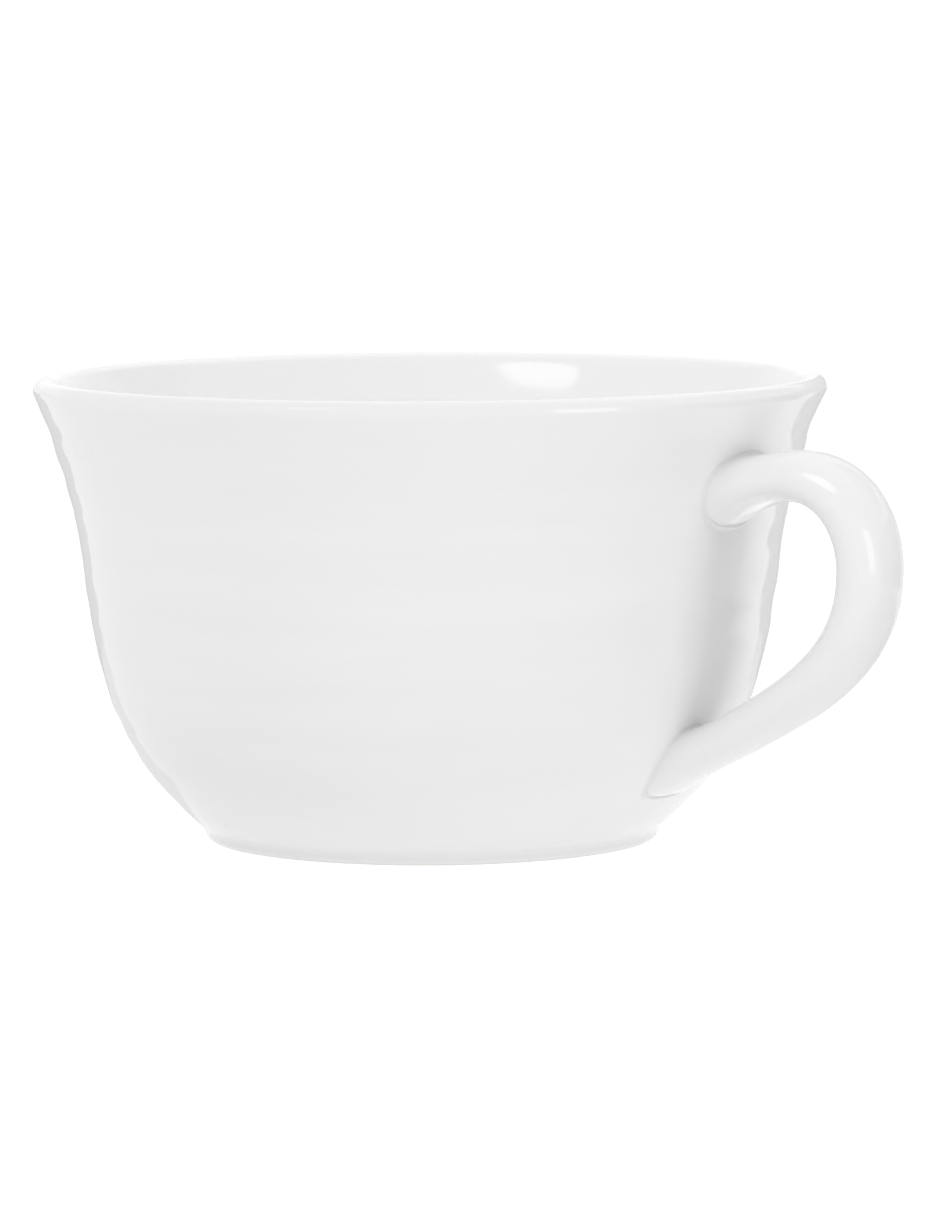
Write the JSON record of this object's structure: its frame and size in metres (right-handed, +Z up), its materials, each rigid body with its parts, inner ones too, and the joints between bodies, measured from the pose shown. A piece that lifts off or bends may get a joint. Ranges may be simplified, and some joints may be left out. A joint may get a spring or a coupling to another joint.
{
  "type": "tea cup",
  "caption": "White glazed tea cup with a flared lip, a wall with soft throwing rings, a low foot ring and a pulled loop handle luted on at two roots.",
  "frame": {"origin": "on the table, under the middle of the cup's overall box, handle included", "axes": "+X along the handle, away from the bowl; +Z up, out of the mouth; +Y across the handle"},
  "size_m": [0.1213, 0.102, 0.0596],
  "materials": {
    "bowl_glaze": "clear gloss glaze on white clay, bare on the standing face of the foot",
    "handle_glaze": "clear gloss glaze on white clay",
    "slip_glaze": "fired slip under the same gloss glaze, pooled a little thicker"
  },
  "bodies": {
    "root": {"cup_body": "bowl_glaze", "handle": "handle_glaze", "upper_slip_joint": "slip_glaze", "lower_slip_joint": "slip_glaze"}
  },
  "joints": []
}
